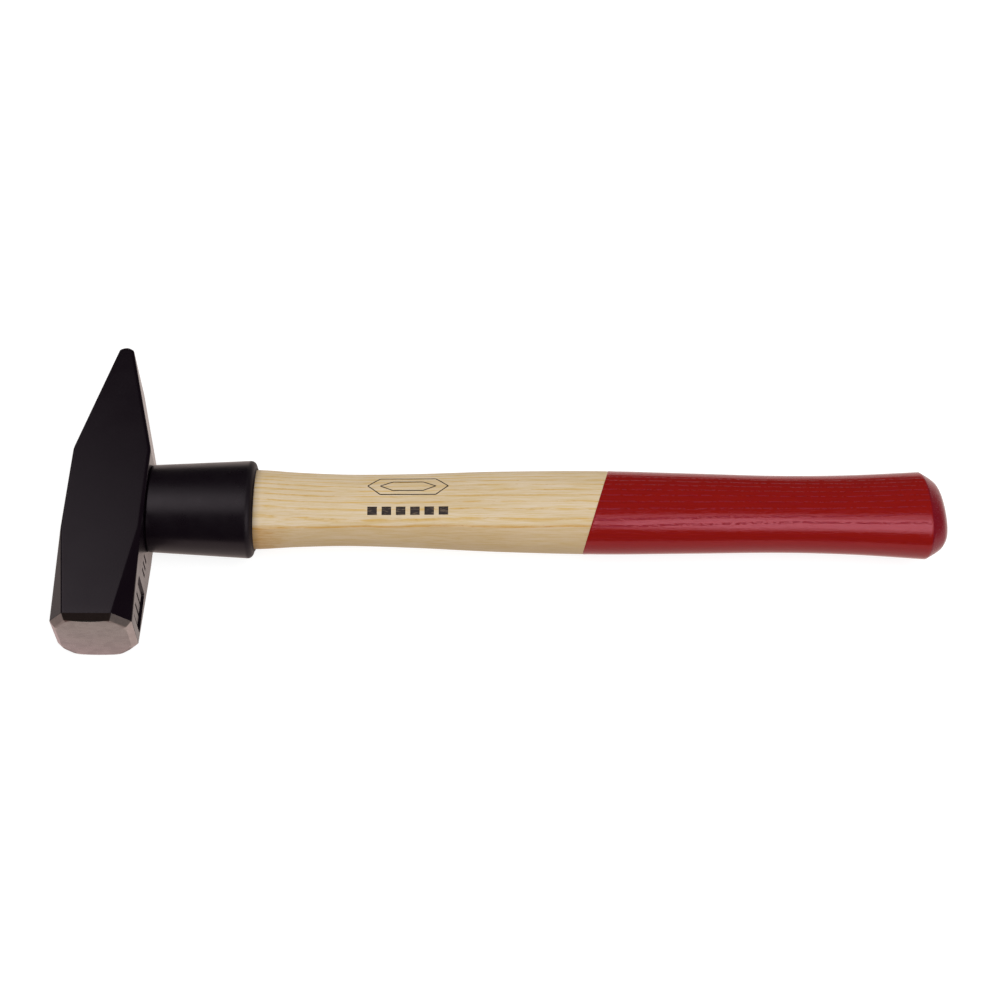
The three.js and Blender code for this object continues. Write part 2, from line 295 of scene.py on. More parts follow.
class Nodes:
    """Short calls for building one material's node tree round its Principled shader."""

    def __init__(self, name):
        self.material = bpy.data.materials.new(name)
        self.material.use_nodes = True
        self.tree = self.material.node_tree
        self.shader = self.tree.nodes["Principled BSDF"]
        self.place = self.tree.nodes.new("ShaderNodeTexCoord").outputs["Object"]

    def put(self, socket, value):
        """Links a socket's value to the given output, or sets it to the given number or colour."""
        if isinstance(value, bpy.types.NodeSocket):
            self.tree.links.new(value, socket)
        else:
            socket.default_value = value

    def set(self, **values):
        """Sets sockets of the shader: underscores in the names stand for spaces."""
        for name, value in values.items():
            self.put(self.shader.inputs[name.replace("_", " ")], value)

    def math(self, operation, a, b=0.0, c=0.0):
        """A Math node's result."""
        node = self.tree.nodes.new("ShaderNodeMath")
        node.operation = operation
        for socket, value in zip(node.inputs, (a, b, c)):
            self.put(socket, value)
        return node.outputs[0]

    def product(self, *values):
        result = values[0]
        for value in values[1:]:
            result = self.math("MULTIPLY", result, value)
        return result

    def split(self):
        """X, Y and Z of the place on the object, in metres."""
        node = self.tree.nodes.new("ShaderNodeSeparateXYZ")
        self.put(node.inputs[0], self.place)
        return node.outputs

    def noise(self, stretch, detail=2.0, roughness=0.5):
        """Noise over the object's own position in metres, scaled by a factor along each axis."""
        mapping = self.tree.nodes.new("ShaderNodeMapping")
        self.put(mapping.inputs["Vector"], self.place)
        mapping.inputs["Scale"].default_value = stretch
        node = self.tree.nodes.new("ShaderNodeTexNoise")
        self.put(node.inputs["Vector"], mapping.outputs[0])
        node.inputs["Scale"].default_value = 1.0
        node.inputs["Detail"].default_value = detail
        node.inputs["Roughness"].default_value = roughness
        return node.outputs[0]

    def centred(self, stretch, amplitude, detail=2.0):
        """Noise that swings about zero."""
        return self.product(self.math("SUBTRACT", self.noise(stretch, detail), 0.5), amplitude)

    def inverse(self, value):
        """1 minus the value."""
        return self.math("SUBTRACT", 1.0, value)

    def ramp(self, value, low, high, out_low=0.0, out_high=1.0):
        """A smooth step from one result at low to another at high."""
        node = self.tree.nodes.new("ShaderNodeMapRange")
        node.interpolation_type = "SMOOTHSTEP"
        self.put(node.inputs["Value"], value)
        node.inputs["From Min"].default_value = low
        node.inputs["From Max"].default_value = high
        node.inputs["To Min"].default_value = out_low
        node.inputs["To Max"].default_value = out_high
        return node.outputs[0]

    def mix(self, factor, a, b, blend="MIX"):
        """Blends two colours."""
        node = self.tree.nodes.new("ShaderNodeMix")
        node.data_type = "RGBA"
        node.blend_type = blend
        for socket, value in zip((node.inputs[0], node.inputs[6], node.inputs[7]), (factor, a, b)):
            self.put(socket, (*value, 1.0) if isinstance(value, tuple) else value)
        return node.outputs[2]

    def tint(self, factor, tone, multiplier):
        """Multiplies a colour by another one where the factor is high."""
        return self.mix(factor, tone, multiplier, "MULTIPLY")

    def mix_value(self, factor, a, b):
        """Blends two numbers."""
        node = self.tree.nodes.new("ShaderNodeMix")
        node.data_type = "FLOAT"
        for socket, value in zip((node.inputs[0], node.inputs[2], node.inputs[3]), (factor, a, b)):
            self.put(socket, value)
        return node.outputs[0]

    def bump(self, height, distance, strength, normal=None):
        """A normal that leans with a height, on top of another bump if given."""
        node = self.tree.nodes.new("ShaderNodeBump")
        node.inputs["Strength"].default_value = strength
        node.inputs["Distance"].default_value = distance
        self.put(node.inputs["Height"], height)
        if normal is not None:
            self.put(node.inputs["Normal"], normal)
        return node.outputs[0]


# ------------------------------------------------------------------ materials

# Borders between the slopes of the face's chamfer, from where they start at the rim of the crown
CORNER_X = 7.43 * MM
CORNER_Z = 6.93 * MM
CORNER_SHIFT = 0.4 * MM             # both X borders lie this much towards -X
CORNER_FAN = 0.41                   # how fast the borders move outwards down the slope
CORNER_BLEND = 0.08 * MM


def chamfer_slopes(m, x, height, chamfer):
    """Where the chamfer's four diagonal slopes and its upper slope are: both 0 to 1."""
    aside = m.math("ABSOLUTE", m.math("ADD", x, CORNER_SHIFT))
    away = m.math("ABSOLUTE", height)
    outwards = m.math("SUBTRACT", away, HALF_Z - CHAMFER_ACROSS)
    beyond_x = m.math("SUBTRACT", m.math("MULTIPLY_ADD", outwards, -CORNER_FAN, aside), CORNER_X)
    sideways = m.math("SUBTRACT", aside, HALF_X - CHAMFER_ACROSS)
    beyond_z = m.math("SUBTRACT", m.math("MULTIPLY_ADD", sideways, -CORNER_FAN, away), CORNER_Z)
    past_x = m.ramp(beyond_x, -CORNER_BLEND, CORNER_BLEND)
    past_z = m.ramp(beyond_z, -CORNER_BLEND, CORNER_BLEND)
    diagonal = m.product(chamfer, past_x, past_z)
    upper = m.ramp(height, HALF_Z - 3.0 * MM, HALF_Z - 2.8 * MM)
    return diagonal, m.product(chamfer, upper, m.inverse(diagonal))


def head_material():
    """Satin black lacquer over forged steel. The face, its chamfer and the peen's edge are ground bare."""
    m = Nodes("lacquered_steel")
    x, y, z = m.split()
    height = m.math("SUBTRACT", z, AXIS_Z)
    ragged = m.math("ADD", y, m.centred((900, 900, 900), 0.25 * MM, 3))
    ground_line = CHAMFER_END_Y - 0.08 * MM
    face = m.ramp(ragged, ground_line - 0.06 * MM, ground_line + 0.04 * MM, 1.0, 0.0)
    tip = m.ramp(ragged, PEEN_Y - 0.85 * MM, PEEN_Y - 0.7 * MM)
    bare = m.math("MAXIMUM", face, tip)

    # lacquer: slightly uneven gloss, a faint orange peel and the soft waves of the forging under it
    broad = m.noise((90, 90, 90), 3)
    fine = m.noise((1300, 1300, 1300), 2)
    lacquer_tone = m.mix(broad, (0.0041, 0.0019, 0.0039), (0.0053, 0.0028, 0.0050))
    lacquer_rough = m.ramp(broad, 0.3, 0.7, 0.22, 0.27)

    # ground steel: scratches along the face, grinding lines across the chamfers, and duller patches; the
    # slopes of the chamfer are painted lighter or darker as painted reflections
    chamfer = m.ramp(y, FACE_Y + 0.95 * MM, FACE_Y + 1.15 * MM)
    scratches = m.noise((260, 900, 3600), 4, 0.7)
    lines = m.noise((2600, 150, 2600), 3, 0.7)
    diagonal, upper = chamfer_slopes(m, x, height, chamfer)
    mottle = m.noise((260, 260, 260), 3, 0.6)
    marks = m.mix_value(chamfer, scratches, lines)
    steel_tone = m.mix(m.ramp(marks, 0.3, 0.7), (0.226, 0.207, 0.198), (0.266, 0.250, 0.241))
    steel_tone = m.tint(m.ramp(mottle, 0.40, 0.65, 0.0, 0.7), steel_tone, (0.86, 0.86, 0.86))
    # painted reflection: the chamfer's slopes are lighter, as if they mirrored the bright floor beside the
    # head
    steel_tone = m.tint(chamfer, steel_tone, (1.52, 1.50, 1.48))
    # painted reflection: the diagonal slopes are darker, as if they mirrored the dark room
    steel_tone = m.tint(diagonal, steel_tone, (0.60, 0.58, 0.58))
    steel_tone = m.tint(m.product(diagonal, m.ramp(lines, 0.42, 0.62)), steel_tone, (0.80, 0.78, 0.78))
    # painted reflection: the upper slope is nearly black, as if it mirrored the dark room in front
    steel_tone = m.tint(upper, steel_tone, (0.20, 0.15, 0.145))
    steel_rough = m.mix_value(chamfer, m.ramp(mottle, 0.3, 0.7, 0.22, 0.32), 0.42)

    m.set(
        Base_Color=m.mix(bare, lacquer_tone, steel_tone),
        Metallic=bare,
        Roughness=m.mix_value(bare, lacquer_rough, steel_rough),
        Specular_IOR_Level=0.22,
        Specular_Tint=(1.0, 0.87, 0.94, 1.0),
    )
    wavy = m.bump(broad, 0.05 * MM, 0.3)
    peel = m.bump(m.product(fine, m.inverse(bare)), 0.010 * MM, 0.5, wavy)
    m.set(Normal=m.bump(m.product(marks, bare), 0.010 * MM, 0.7, peel))
    return m.material


# Growth rings of the ash. They are counted along RING_NORMAL (Y, Z), from the ring that lies FIRST_RING mm
# from the axis, and follow the swell of the handle. Past the edge of the flat-sawn side there are none.
RING_NORMAL = (-0.78, 0.62)
RING_WIDTH = 1.85
FIRST_RING = 0.6
FLAT_SIDE = -1.6                    # where the flat-sawn side starts, along the rings, at FLAT_SIDE_X
FLAT_SIDE_X = 120 * MM
FLAT_SIDE_DRIFT = 17.5              # mm per metre of handle
SWELL_CENTRE = 176 * MM
SWELL_PER_METRE = 34.9              # radians of the swell's wave
SWELL = 0.066
RINGS_BEFORE = 90.0                 # keeps the count of rings above zero
STAIN_LENGTH = 16 * MM              # brown stain on the flat-sawn side, next to the sleeve


def past_sleeve(m, x):
    """1 where the wood is bare, and 0 under the sleeve."""
    return m.ramp(x, SLEEVE_END - 2 * MM, SLEEVE_END)


def ash_grain(m):
    """Where the golden early wood lies, the seam along the flat-sawn side, that side itself and the fine
    fibres: all 0 to 1."""
    x, y, z = m.split()
    height = m.math("SUBTRACT", z, AXIS_Z)
    swell = m.math("COSINE", m.product(m.math("SUBTRACT", x, SWELL_CENTRE), SWELL_PER_METRE))
    size = m.product(m.math("MULTIPLY_ADD", swell, SWELL, 1 + SWELL), MM)
    across = m.math("MULTIPLY_ADD", height, RING_NORMAL[1], m.product(y, RING_NORMAL[0]))
    across = m.math("ADD", m.math("DIVIDE", across, size), m.centred((7, 14, 14), 1.8, 1))
    across = m.math("ADD", across, m.centred((70, 140, 140), 0.7, 2))
    along = m.math("MULTIPLY_ADD", height, -RING_NORMAL[0], m.product(y, RING_NORMAL[1]))
    drift = m.product(m.math("SUBTRACT", FLAT_SIDE_X, x), FLAT_SIDE_DRIFT)
    along = m.math("ADD", m.math("DIVIDE", along, size), drift)
    along = m.math("ADD", along, m.centred((45, 90, 90), 1.6, 2))
    flat = m.ramp(along, FLAT_SIDE - 0.35, FLAT_SIDE, 1.0, 0.0)
    seam = m.product(m.ramp(along, FLAT_SIDE + 1.1, FLAT_SIDE), m.inverse(flat))
    count = m.math("DIVIDE", m.math("SUBTRACT", across, FIRST_RING), RING_WIDTH)
    phase = m.math("FRACT", m.math("ADD", count, RINGS_BEFORE))
    lines = m.product(m.ramp(phase, 0.0, 0.05), m.ramp(phase, 0.10, 0.38, 1.0, 0.0))
    early = m.product(m.math("MAXIMUM", lines, seam), m.inverse(flat))
    fading = m.ramp(x, SLEEVE_END + 1 * MM, SLEEVE_END + STAIN_LENGTH, 1.0, 0.0)
    stain = m.product(fading, past_sleeve(m, x), m.ramp(along, FLAT_SIDE + 1.6, FLAT_SIDE + 0.2))
    seam = m.math("MAXIMUM", m.product(seam, 0.8), stain)
    fibres = m.noise((90, 2400, 2400), 4, 0.65)
    return early, seam, flat, fibres


def ash_material():
    """Sanded, clear sealed ash: pale, with golden growth lines, short open pores and silky streaks. Its
    flat-sawn lower side is browner, deepened by painted shade, and right beside the sleeve it is darkened by
    painted shade."""
    m = Nodes("ash")
    x = m.split()[0]
    early, seam, flat, fibres = ash_grain(m)
    silky = m.noise((18, 170, 170), 3)
    dashes = m.noise((90, 900, 900), 2, 0.6)
    pores = m.noise((420, 5200, 5200), 1)
    tone = m.mix(m.ramp(silky, 0.32, 0.68), (0.685, 0.555, 0.400), (0.630, 0.490, 0.317))
    # the flat-sawn side's own browner tone, made darker as painted shade on the handle's lower side
    tone = m.tint(flat, tone, (0.86, 0.80, 0.71))
    tone = m.tint(m.ramp(fibres, 0.38, 0.68), tone, (0.93, 0.87, 0.66))
    tone = m.tint(m.product(early, m.ramp(dashes, 0.36, 0.60, 0.15, 1.0)), tone, (0.94, 0.78, 0.39))
    tone = m.tint(m.product(seam, m.ramp(fibres, 0.25, 0.65, 0.35, 1.0)), tone, (0.84, 0.66, 0.40))
    # painted shade: the wood right beside the sleeve is darkened as if in the sleeve's contact shadow
    painted_sleeve_shade = m.product(m.ramp(x, SLEEVE_END, SLEEVE_END + 3.4 * MM, 1.0, 0.0), past_sleeve(m, x))
    tone = m.tint(painted_sleeve_shade, tone, (0.72, 0.71, 0.72))
    open_pores = m.product(m.ramp(pores, 0.62, 0.72), m.ramp(early, 0.0, 1.0, 0.2, 1.0))
    tone = m.tint(open_pores, tone, (0.80, 0.66, 0.45))
    m.set(Base_Color=tone, Roughness=m.ramp(fibres, 0.2, 0.8, 0.46, 0.58), Specular_IOR_Level=0.3)
    relief = m.math("ADD", m.product(fibres, 0.5), m.product(pores, early, -0.8))
    m.set(Normal=m.bump(relief, 0.02 * MM, 0.5))
    return m.material


def red_lacquer_material():
    """Thick glossy dip coat. It has sunk a little into the pores, so the gloss breaks up along the grain.
    Its pits and pores are tinted crimson, partly as a painted sheen. On the end grain of the bevel it is
    darker and dotted."""
    m = Nodes("red_lacquer")
    early, _, _, fibres = ash_grain(m)
    end_grain = m.ramp(m.split()[0], HANDLE_END - 9.3 * MM, HANDLE_END - 8.9 * MM)
    pores = m.ramp(m.noise((160, 2300, 2300), 2, 0.6), 0.52, 0.60)
    vessels = m.ramp(m.noise((520, 1500, 1500), 2, 0.7), 0.47, 0.53)
    pits = m.math("MAXIMUM", m.product(pores, 0.12), m.product(vessels, m.ramp(early, 0.45, 0.8)))
    dots = m.ramp(m.noise((1900, 1900, 1900), 2, 0.6), 0.40, 0.75, 0.1, 0.6)
    pits = m.mix_value(end_grain, pits, dots)
    tone = m.mix(m.ramp(fibres, 0.3, 0.7), (0.246, 0.0080, 0.0052), (0.218, 0.0064, 0.0045))
    # the pits and pores are real marks; their crimson tint is a painted sheen of bluish light on the gloss
    tone = m.tint(m.math("MAXIMUM", pits, m.product(pores, 0.3)), tone, (1.0, 0.85, 2.8))
    tone = m.tint(end_grain, tone, (0.72, 0.70, 1.6))
    m.set(
        Base_Color=tone,
        Roughness=m.ramp(pits, 0.0, 1.0, 0.11, 0.50),
        Specular_IOR_Level=0.45,
        Specular_Tint=(1.0, 0.42, 0.55, 1.0),
    )
    relief = m.math("ADD", m.product(fibres, 0.10), m.product(pits, -1.0))
    wavy = m.bump(m.noise((30, 420, 420), 2), 0.05 * MM, 0.5)
    m.set(Normal=m.bump(relief, 0.07 * MM, 0.8, wavy))
    return m.material


def sleeve_material():
    """Moulded black plastic with a fine satin grain, duller on its rim."""
    m = Nodes("black_plastic")
    grain = m.noise((2600, 2600, 2600), 2)
    patches = m.noise((160, 160, 160), 3)
    rim = m.ramp(m.split()[0], SLEEVE_END - 2.8 * MM, SLEEVE_END - 1.5 * MM)
    tone = m.mix(patches, (0.0036, 0.0016, 0.0034), (0.0051, 0.0028, 0.0048))
    satin = m.mix_value(rim, m.ramp(patches, 0.3, 0.7, 0.27, 0.32), 0.55)
    m.set(Base_Color=tone, Roughness=satin)
    m.set(Specular_IOR_Level=0.27, Specular_Tint=(1.0, 0.88, 0.95, 1.0))
    m.set(Normal=m.bump(grain, 0.010 * MM, 0.5))
    return m.material


def wedge_wood_material():
    """Darker hardwood with its fibres along X, seen on its end."""
    m = Nodes("wedge_hardwood")
    specks = m.noise((300, 4200, 2600), 3, 0.7)
    lines = m.noise((60, 500, 2600), 2)
    tone = m.mix(m.ramp(lines, 0.3, 0.7), (0.40, 0.25, 0.12), (0.30, 0.17, 0.075))
    tone = m.mix(m.ramp(specks, 0.55, 0.7), tone, (0.13, 0.07, 0.03))
    m.set(Base_Color=tone, Roughness=0.7, Specular_IOR_Level=0.25)
    m.set(Normal=m.bump(specks, 0.04 * MM, 0.6))
    return m.material


def wedge_steel_material():
    """Turned steel tube end, slightly dull, with hammer marks from driving."""
    m = Nodes("wedge_steel")
    marks = m.noise((900, 900, 900), 3)
    tone = m.mix(marks, (0.32, 0.31, 0.30), (0.46, 0.45, 0.44))
    m.set(Base_Color=tone, Metallic=1.0, Roughness=m.ramp(marks, 0.3, 0.7, 0.30, 0.48))
    m.set(Normal=m.bump(marks, 0.03 * MM, 0.5))
    return m.material


def ink_material():
    """Dark printing ink that has sunk unevenly into the wood."""
    m = Nodes("print_ink")
    worn = m.noise((500, 2400, 2400), 3)
    tone = m.mix(m.ramp(worn, 0.5, 0.72, 0.0, 0.6), (0.030, 0.021, 0.019), (0.22, 0.155, 0.10))
    m.set(Base_Color=tone, Roughness=0.6, Specular_IOR_Level=0.25)
    return m.material


FLOOR_GLOW = 0.86
GLOW_START, GLOW_END = 0.7, 2.2     # metres from the origin between which reflections of the floor fade
GLOW_ON_MATT = 0.5


def floor_material():
    """White studio table, lit from below. Reflections show it a little warmer and dark further away, and
    it lights matt surfaces less than it shines."""
    m = Nodes("pale_floor")
    x, y, _ = m.split()
    away = m.math("SQRT", m.math("ADD", m.product(x, x), m.product(y, y)))
    glow = m.ramp(away, GLOW_START, GLOW_END, FLOOR_GLOW, 0.0)
    m.set(Base_Color=(0.28, 0.28, 0.28, 1), Roughness=0.9, Specular_IOR_Level=0.1)
    rays = m.tree.nodes.new("ShaderNodeLightPath").outputs
    m.set(Emission_Color=m.mix(rays["Is Glossy Ray"], (1.0, 1.0, 1.0), (0.92, 0.74, 0.67)))
    glow = m.mix_value(rays["Is Diffuse Ray"], glow, m.product(glow, GLOW_ON_MATT))
    m.set(Emission_Strength=m.mix_value(rays["Is Camera Ray"], glow, FLOOR_GLOW))
    return m.material


# ------------------------------------------------------------------ head

def octagon(half_x, low, high, cuts):
    """Corners (X, Z from the axis) of a section across the head."""
    cut_right, cut_left, cut_side = cuts
    right, left = half_x - cut_right, cut_left - half_x
    return [
        (half_x, cut_side - low), (right, -low), (left, -low), (-half_x, cut_side - low),
        (-half_x, high - cut_side), (left, high), (right, high), (half_x, high - cut_side),
    ]


def section_points(half_x, low, high, cut_right, cut_left, cut_side, round_high, round_low):
    """An octagon's outline with round corners, a guard point beside each of them and points along its
    sides."""
    corners = [np.array(c) for c in octagon(half_x, low, high, (cut_right, cut_left, cut_side))]
    arc_steps, side_steps = 4, 5
    guard = 0.4 * MM
    most_rounding, most_guard = 0.36, 0.1    # parts of a side
    corner_arcs = []
    for i, here in enumerate(corners):
        before, after = corners[i - 1] - here, corners[(i + 1) % 8] - here
        room_before, room_after = np.linalg.norm(before), np.linalg.norm(after)
        rounding = round_low if i < 4 else round_high
        to_before, to_after = before / room_before, after / room_after
        start = here + to_before * min(rounding, most_rounding * room_before)
        end = here + to_after * min(rounding, most_rounding * room_after)
        arc = [start + to_before * min(guard, most_guard * room_before)]
        for k in range(arc_steps + 1):
            t = k / arc_steps
            arc.append(start * (1 - t) ** 2 + here * 2 * t * (1 - t) + end * t ** 2)
        arc.append(end + to_after * min(guard, most_guard * room_after))
        corner_arcs.append(arc)
    points = []
    for i, arc in enumerate(corner_arcs):
        points += arc
        a, b = arc[-1], corner_arcs[(i + 1) % 8][0]
        points += [a + (b - a) * k / side_steps for k in range(1, side_steps)]
    return points


def flat_ring(y, points):
    return [(p[0], y, AXIS_Z + p[1]) for p in points]


def crown_y(point):
    return FACE_Y + (point[0] ** 2 + point[1] ** 2) / (2 * CROWN_RADIUS)


def face_rings():
    """From the middle of the crown to its rim, then down the chamfer. The rim is where the chamfer's
    slopes meet the crown, so it bows between the corners."""
    outer = section_points(HALF_X, HALF_Z, HALF_Z, *CUTS_AT_FACE, EDGE_ROUNDING, EDGE_ROUNDING)
    shrink = CHAMFER_ACROSS * (2 - math.sqrt(2))
    inner = section_points(
        HALF_X - CHAMFER_ACROSS, HALF_Z - LOW_CHAMFER_ACROSS, HALF_Z - CHAMFER_ACROSS,
        *(cut - shrink for cut in CUTS_AT_FACE), CRISP_ROUNDING, LOW_RIM_ROUNDING,
    )

    depths = []
    for a, b in zip(outer, inner):
        t = 1.0
        for _ in range(8):
            t = (CHAMFER_END_Y - crown_y(a + (b - a) * t)) / CHAMFER_ALONG
        depths.append(t)
    rim = [a + (b - a) * t for a, b, t in zip(outer, inner, depths)]

    def crown_ring(part):
        points = [p * part for p in rim]
        return [(p[0], crown_y(p), AXIS_Z + p[1]) for p in points]

    def chamfer_ring(part):
        ring = []
        for a, b, t in zip(outer, inner, depths):
            x, z = a + (b - a) * (t * part)
            ring.append((x, CHAMFER_END_Y - CHAMFER_ALONG * t * part, AXIS_Z + z))
        return ring

    crown = [crown_ring(part) for part in CROWN_PARTS]
    return crown + [chamfer_ring(part) for part in CHAMFER_PARTS]


def body_sections():
    """Sections behind the face, from the chamfer to the peen's edge: Y and the arguments of
    section_points."""
    path, reaches = [], []

    def section(y, half_x, half_z, cuts, rounding, reach=0.0):
        path.append(np.array([y, half_x, half_z, half_z, *cuts, rounding, rounding]))
        reaches.append(reach)

    section(CHAMFER_END_Y, HALF_X, HALF_Z, CUTS_AT_FACE, EDGE_ROUNDING)
    section(-BLOCK_END, HALF_X, HALF_Z, CUTS_AT_BLOCK, EDGE_ROUNDING, 1.2 * MM)
    section(BLOCK_END, HALF_X, HALF_Z, CUTS_AT_BLOCK, EDGE_ROUNDING, 1.3 * MM)

    radius = (PEEN_HALF_WIDTH ** 2 + PEEN_RISE ** 2) / (2 * PEEN_RISE)
    start = math.asin(PEEN_HALF_WIDTH / radius)
    for part in PEEN_PARTS:
        half_x = radius * math.sin(start * part)
        cuts = [min(cut, half_x / 3) for cut in CUTS_AT_BLOCK]
        section(
            PEEN_Y - radius + radius * math.cos(start * part), half_x,
            HALF_Z - PEEN_END_DROP * (1 - part) ** 2, cuts, EDGE_ROUNDING, 0.5 * MM if part == 1 else 0,
        )
    lead = 0.1 * MM / (BLOCK_END + abs(CHAMFER_END_Y))
    first = path[0] + (path[1] - path[0]) * lead
    return subdivide(soften([first] + path[1:], reaches), 3 * MM)


def eye_curve():
    """The eye's X, half width and half height in metres, along its axis."""
    return smooth_curve([tuple(v * MM for v in p) for p in EYE_CURVE], 6)


def eye_cutter():
    """The oval hourglass of the eye, with its mouths broken by a small chamfer."""
    lead = 0.7 * MM
    beyond = 3 * MM
    curve = eye_curve()
    _, first_y, first_z = curve[0]
    _, last_y, last_z = curve[-1]
    rings = [oval_ring(-HALF_X - beyond, first_y + lead + beyond, first_z + lead + beyond)]
    rings.append(oval_ring(-HALF_X, first_y + lead, first_z + lead))
    rings += [oval_ring(*p) for p in curve if abs(p[0]) < HALF_X - lead]
    rings.append(oval_ring(HALF_X, last_y + lead, last_z + lead))
    rings.append(oval_ring(HALF_X + beyond, last_y + lead + beyond, last_z + lead + beyond))
    return loft("eye_cutter", rings)


def rounded_rectangle(x, low, high, radius, steps=5):
    """Points of a rectangle in a plane of constant X, with round corners."""
    (y0, z0), (y1, z1) = low, high
    centres = [(y1 - radius, z0 + radius, -90), (y1 - radius, z1 - radius, 0),
               (y0 + radius, z1 - radius, 90), (y0 + radius, z0 + radius, 180)]
    points = []
    for cy, cz, start in centres:
        for k in range(steps + 1):
            angle = math.radians(start + 90 * k / steps)
            points.append((x, cy + radius * math.cos(angle), AXIS_Z + cz + radius * math.sin(angle)))
    return points


def panel_cutter():
    """The recess on the handle side of the poll, with sloping walls and a rounded foot."""
    rings = []
    for level, inset in PANEL_WALL:
        low = tuple(v + inset * MM for v in PANEL_LOW)
        high = tuple(v - inset * MM for v in PANEL_HIGH)
        rings.append(rounded_rectangle(HALF_X + level * MM, low, high, (PANEL_ROUNDING - inset) * MM))
    return loft("panel_cutter", rings[::-1])


def panel_bars():
    """Plain raised bars on the panel's floor."""
    floor_x = HALF_X - PANEL_DEPTH
    bars = []
    for y0, y1 in BARS_Y:
        rings = []
        for x, inset in ((-0.3, 0), (0.45, 0.0), (0.6, 0.18)):
            low = ((y0 + inset) * MM, (BARS_Z[0] + inset) * MM)
            high = ((y1 - inset) * MM, (BARS_Z[1] - inset) * MM)
            rings.append(rounded_rectangle(floor_x + x * MM, low, high, (0.7 - inset) * MM, 3))
        bars.append(loft("bar", rings))
    return bars


def punched_strokes():
    """Three short strokes punched between the eye and the panel."""
    strokes = []
    for y0 in STROKES_Y:
        rings = []
        for x, inset in ((-0.5, 0.3), (0.0, 0.0), (0.5, -0.3)):
            low = ((y0 + inset) * MM, (STROKES_Z[0] + inset) * MM)
            high = ((y0 + STROKE_WIDTH - inset) * MM, (STROKES_Z[1] - inset) * MM)
            rings.append(rounded_rectangle(HALF_X + x * MM, low, high, 0.3 * MM, 2))
        strokes.append(loft("stroke", rings))
    return strokes


def build_head():
    rings = face_rings() + [flat_ring(s[0], section_points(*s[1:])) for s in body_sections()]
    head = loft("head", rings[::-1], head_material())
    combine(head, eye_cutter(), "DIFFERENCE")
    combine(head, panel_cutter(), "DIFFERENCE")
    for bar in panel_bars():
        combine(head, bar, "UNION")
    for stroke in punched_strokes():
        combine(head, stroke, "DIFFERENCE")
    finish_shading(head, 30)
    place(head, "hammer_head")


# ------------------------------------------------------------------ handle, coat and wedges

def grip_profile():
    """Half width and half thickness along the bare handle and its domed end, in metres."""
    rows = [(p[0] * MM, p[1] * MM, p[1] * MM / OVAL_RATIO) for p in smooth_curve(HANDLE_CURVE, 12)]
    end_half = HANDLE_CURVE[-1][1] * MM
    points = [(HANDLE_END - before * MM, cut * MM) for before, cut in END_BEVEL]
    for x, cut in smooth_curve(points, 3)[1:]:
        rows.append((x, end_half - cut, max(end_half / OVAL_RATIO - cut, 0.25 * MM)))
    return rows


def tenon_profile():
    """The part in the eye: it fills the hourglass, and ends flush with the far side of the head."""
    clearance = 0.04 * MM
    return [(x, half_y - clearance, half_z - clearance) for x, half_y, half_z in eye_curve()]


def dip_x(y, z):
    """Where the plane of the dip line is, at some place across the handle."""
    return DIP_X + DIP_SLANT_Y * y + DIP_SLANT_Z * (z - AXIS_Z)


def kerf_slab(name, extra):
    """The wooden wedge's shape, wide enough to reach across the eye, grown by extra on its two slopes."""
    wide = HALF_Z + 4 * MM
    rings = []
    for x, half in ((-HALF_X - CUT_REACH, WEDGE_END_HALF), (WEDGE_TIP_X, WEDGE_TIP_HALF)):
        low, high = AXIS_Z - half - extra, AXIS_Z + half + extra
        rings.append([(x, -wide, low), (x, wide, low), (x, wide, high), (x, -wide, high)])
    return loft(name, rings)


def turned(name, profile):
    """A ring turned about the handle's axis from a closed profile of (X, radius) points."""
    rings = []
    for i in range(TURNED_STEPS):
        angle = 2 * math.pi * i / TURNED_STEPS
        c, s = math.cos(angle), math.sin(angle)
        rings.append([(x, r * c, AXIS_Z + r * s) for x, r in reversed(profile)])
    return loft(name, rings, closed=True)


def ring_profile(grow, start):
    """Outline of the ring wedge from its driven end to its sharpened inner end, grown for its groove."""
    inner = RING_RADIUS - RING_WALL - grow
    outer = RING_RADIUS + grow
    tip = RING_TIP + grow
    return [(start, inner), (start, outer), (tip, outer), (tip, RING_RADIUS - RING_EDGE - grow)]


def groove():
    """Cuts the place of the ring wedge out of the wood."""
    return turned("groove", ring_profile(GROOVE_PLAY, -HALF_X - CUT_REACH))


def under_coat(x, y, z):
    """Moves a point of the handle inwards where the dip coat lies over it."""
    depth = min(max((x - dip_x(y, z)) / MM - 0.3, 0.0), 1.0) * COAT_SINK
    reach = math.hypot(y, z - AXIS_Z)
    keep = 1 - depth / max(reach, COAT_SINK)
    return (x - depth * (x > HANDLE_END - 2 * MM), y * keep, AXIS_Z + (z - AXIS_Z) * keep)


def build_handle():
    rows = tenon_profile() + grip_profile()
    rings = [[under_coat(*p) for p in oval_ring(*row)] for row in rows]
    handle = loft("wood_handle", rings, ash_material())
    combine(handle, kerf_slab("kerf", 0.02 * MM), "DIFFERENCE")
    combine(handle, groove(), "DIFFERENCE")
    finish_shading(handle, 40)
    place(handle, "handle")


def build_wooden_wedge():
    """The hardwood wedge: the slab trimmed to the eye, and cut by the ring wedge driven after it."""
    wedge = loft("hardwood_wedge", [oval_ring(*row) for row in tenon_profile()], wedge_wood_material())
    combine(wedge, kerf_slab("slab", 0.0), "INTERSECT")
    combine(wedge, groove(), "DIFFERENCE")
    finish_shading(wedge, 30)
    place(wedge, "wooden_wedge")


def build_ring_wedge():
    """The steel ring, driven a little below the wood, with a rounded driven end."""
    (start, inner), (_, outer), tip, tip_inside = ring_profile(0.0, -HALF_X + RING_SUNK)
    profile = [
        (start + RING_ROUNDING, inner), (start, inner + RING_ROUNDING),
        (start, outer - RING_ROUNDING), (start + RING_ROUNDING, outer), tip, tip_inside,
    ]
    ring = turned("steel_ring_wedge", profile)
    ring.data.materials.append(wedge_steel_material())
    finish_shading(ring, 30)
    place(ring, "ring_wedge")


